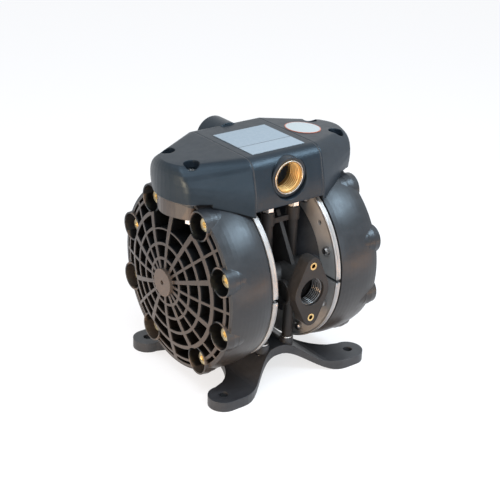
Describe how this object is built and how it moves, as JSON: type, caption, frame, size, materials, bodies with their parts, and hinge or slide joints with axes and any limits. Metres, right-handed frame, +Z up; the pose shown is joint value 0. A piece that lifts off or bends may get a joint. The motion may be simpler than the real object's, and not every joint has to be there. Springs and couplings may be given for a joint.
{
  "type": "air-operated double-diaphragm pump",
  "caption": "Compact plastic diaphragm pump with ribbed round covers, a valve block on top, flanged ports and a four-footed stand.",
  "frame": {"origin": "centre of the four mounting holes, on the floor", "axes": "+X along the diaphragm shaft, -Y towards the suction port, +Z up"},
  "size_m": [0.158, 0.146, 0.1771],
  "materials": {
    "black_plastic": "satin glass-filled polypropylene",
    "stainless": "satin stainless",
    "yellow_zinc": "yellow zinc plate",
    "brass": "machined",
    "rubber": "moulded",
    "acetal": "moulded",
    "spring_steel": "drawn wire",
    "valve_metal": "ground",
    "label_grey": "bare film",
    "sticker_white": "bare film"
  },
  "bodies": {
    "housing": {"left_cover": "black_plastic", "right_cover": "black_plastic", "left_cover_bolts": "yellow_zinc", "right_cover_bolts": "yellow_zinc", "left_upper_ring": "stainless", "left_lower_ring": "stainless", "right_upper_ring": "stainless", "right_lower_ring": "stainless", "left_chamber": "black_plastic", "right_chamber": "black_plastic", "pump_core": "black_plastic", "inlet_manifold": "black_plastic", "outlet_manifold": "black_plastic", "flange_inserts": "brass", "left_diaphragm": "rubber", "right_diaphragm": "rubber", "shaft_bushes": "acetal", "shaft_seals": "rubber", "valve_seats": "acetal", "valve_cages": "acetal", "left_inlet_spring": "spring_steel", "right_inlet_spring": "spring_steel", "left_outlet_spring": "spring_steel", "right_outlet_spring": "spring_steel", "valve_block": "black_plastic", "valve_sleeve": "valve_metal", "sleeve_plugs": "black_plastic", "air_inlet_insert": "brass", "left_cap": "black_plastic", "right_cap": "black_plastic", "cap_gaskets": "rubber", "cap_screws": "stainless", "cap_nuts": "stainless", "block_studs": "stainless", "base_stand": "black_plastic", "base_screws": "stainless", "base_washers": "stainless", "name_plate": "label_grey", "round_sticker": "sticker_white"},
    "shaft_assembly": {"diaphragm_shaft": "stainless", "inner_plates": "black_plastic", "outer_plates": "stainless", "shaft_nuts": "stainless"},
    "pilot_rod": {"pilot_rod": "stainless", "pilot_seals": "rubber"},
    "valve_spool": {"valve_spool": "valve_metal", "spool_seals": "rubber"},
    "left_inlet_poppet": {"left_inlet_poppet": "acetal"},
    "right_inlet_poppet": {"right_inlet_poppet": "acetal"},
    "left_outlet_poppet": {"left_outlet_poppet": "acetal"},
    "right_outlet_poppet": {"right_outlet_poppet": "acetal"}
  },
  "joints": [
    {"name": "shaft_slide", "type": "slide", "parent": "housing", "child": "shaft_assembly", "axis": [1, 0, 0], "range_m": [-0.005, 0.005], "deforming": ["left_diaphragm", "right_diaphragm"]},
    {"name": "pilot_slide", "type": "slide", "parent": "housing", "child": "pilot_rod", "axis": [1, 0, 0], "range_m": [-0.0025, 0.0025]},
    {"name": "spool_slide", "type": "slide", "parent": "housing", "child": "valve_spool", "axis": [1, 0, 0], "range_m": [-0.003, 0.003]},
    {"name": "left_inlet_lift", "type": "slide", "parent": "housing", "child": "left_inlet_poppet", "axis": [-1, 0, 0], "range_m": [0, 0.0025], "stiffness_N_per_m": 60, "springref_m": -0.001, "deforming": ["left_inlet_spring"]},
    {"name": "left_outlet_lift", "type": "slide", "parent": "housing", "child": "left_outlet_poppet", "axis": [1, 0, 0], "range_m": [0, 0.0025], "stiffness_N_per_m": 60, "springref_m": -0.001, "deforming": ["left_outlet_spring"]},
    {"name": "right_inlet_lift", "type": "slide", "parent": "housing", "child": "right_inlet_poppet", "axis": [1, 0, 0], "range_m": [0, 0.0025], "stiffness_N_per_m": 60, "springref_m": -0.001, "deforming": ["right_inlet_spring"]},
    {"name": "right_outlet_lift", "type": "slide", "parent": "housing", "child": "right_outlet_poppet", "axis": [-1, 0, 0], "range_m": [0, 0.0025], "stiffness_N_per_m": 60, "springref_m": -0.001, "deforming": ["right_outlet_spring"]}
  ],
  "couplings": [
    {"joint": "pilot_slide", "follows": "shaft_slide", "ratio": 0.5}
  ]
}
